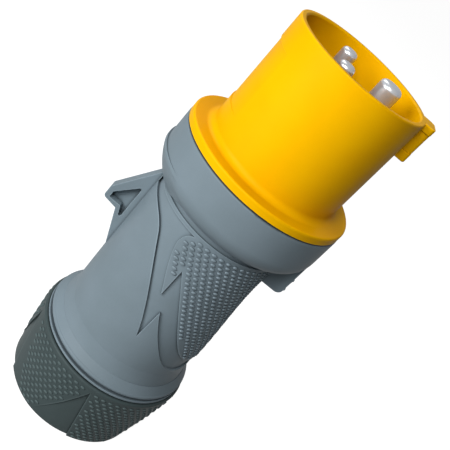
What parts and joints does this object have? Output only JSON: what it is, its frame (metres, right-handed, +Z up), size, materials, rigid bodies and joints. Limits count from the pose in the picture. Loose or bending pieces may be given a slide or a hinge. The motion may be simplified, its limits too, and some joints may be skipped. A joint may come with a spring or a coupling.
{
  "type": "industrial plug",
  "caption": "Industrial power plug with a round yellow shroud around its contact pins, a grey hand grip with a lid catch, and a dark cable gland nut.",
  "frame": {"origin": "centre of the gland nut's cable mouth, at its rear face, which the plug stands on", "axes": "+Z up the plug from the gland nut to the mouth of the shroud, +X towards the key on the shroud"},
  "size_m": [0.0605, 0.0564, 0.1484],
  "materials": {
    "yellow_shell": "satin moulded",
    "grey_shell": "satin moulded",
    "nut_shell": "satin moulded",
    "carrier_insert": "matt moulded",
    "black_nylon": "matt moulded",
    "white_acetal": "smooth moulded",
    "black_rubber": "moulded rubber",
    "nickel_brass": "bright nickel plate",
    "zinc_steel": "zinc plated",
    "spring_steel": "rolled"
  },
  "bodies": {
    "root": {"shroud_front": "yellow_shell", "flange_seal": "black_rubber", "pin_carrier": "carrier_insert", "pin_retainer": "carrier_insert", "handle_housing": "grey_shell", "gland_nut": "nut_shell", "friction_washer": "white_acetal", "clamp_cage": "black_nylon", "gland_seal": "black_rubber", "earth_pin": "nickel_brass", "earth_terminal_screw": "zinc_steel", "earth_wire_plate": "spring_steel", "line_pin": "nickel_brass", "line_terminal_screw": "zinc_steel", "line_wire_plate": "spring_steel", "neutral_pin": "nickel_brass", "neutral_terminal_screw": "zinc_steel", "neutral_wire_plate": "spring_steel", "retainer_screw_1": "zinc_steel", "retainer_screw_2": "zinc_steel", "retainer_screw_3": "zinc_steel"}
  },
  "joints": []
}
